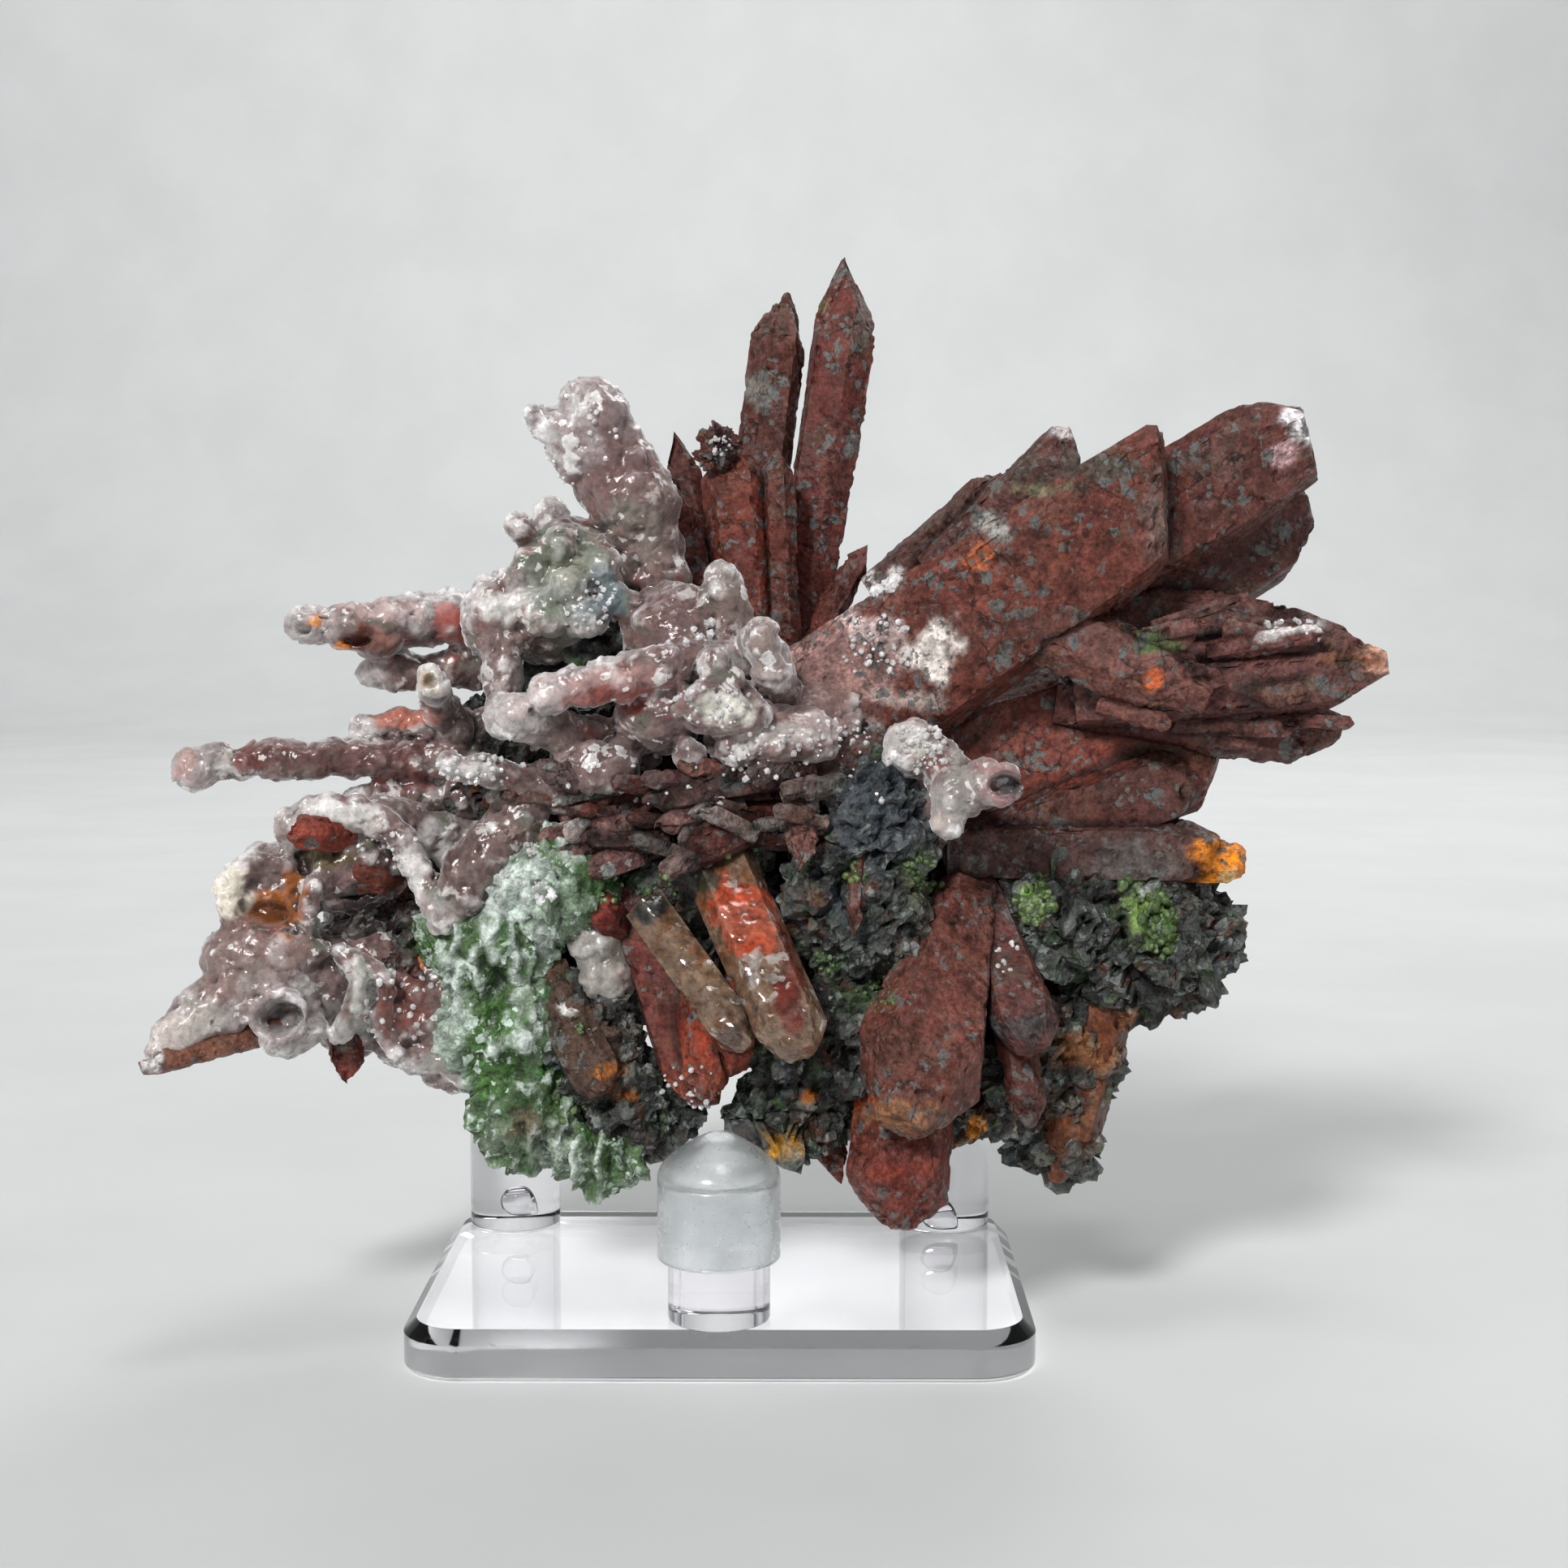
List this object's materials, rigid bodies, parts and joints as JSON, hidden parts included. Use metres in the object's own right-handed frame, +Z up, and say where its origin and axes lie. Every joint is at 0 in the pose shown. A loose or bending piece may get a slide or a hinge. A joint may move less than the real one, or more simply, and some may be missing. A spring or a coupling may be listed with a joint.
{
  "type": "quartz cluster",
  "caption": "Red hematite-coated quartz crystal cluster with chalcedony fingers and green crust, resting on a clear acrylic peg stand.",
  "frame": {"origin": "centre of the underside of the stand's base plate", "axes": "+X along the plate's long side to the viewer's right, +Y away from the viewer, +Z up"},
  "size_m": [0.1209, 0.0587, 0.1113],
  "materials": {
    "red_quartz": "satin, rough crystal faces with hematite dust",
    "chalcedony": "waxy and slightly translucent, white on its rims",
    "matrix": "rough dark crust with green and ochre spots",
    "green_crust": "translucent green film with white fibres",
    "clear_quartz": "clear to smoky, polished faces",
    "clear_acrylic": "clear, polished",
    "silicone": "frosted, translucent"
  },
  "bodies": {
    "root": {"quartz_cluster": "red_quartz", "base_plate": "clear_acrylic", "rear_left_peg": "clear_acrylic", "rear_right_peg": "clear_acrylic", "front_peg": "clear_acrylic", "front_peg_cap": "silicone"}
  },
  "joints": []
}
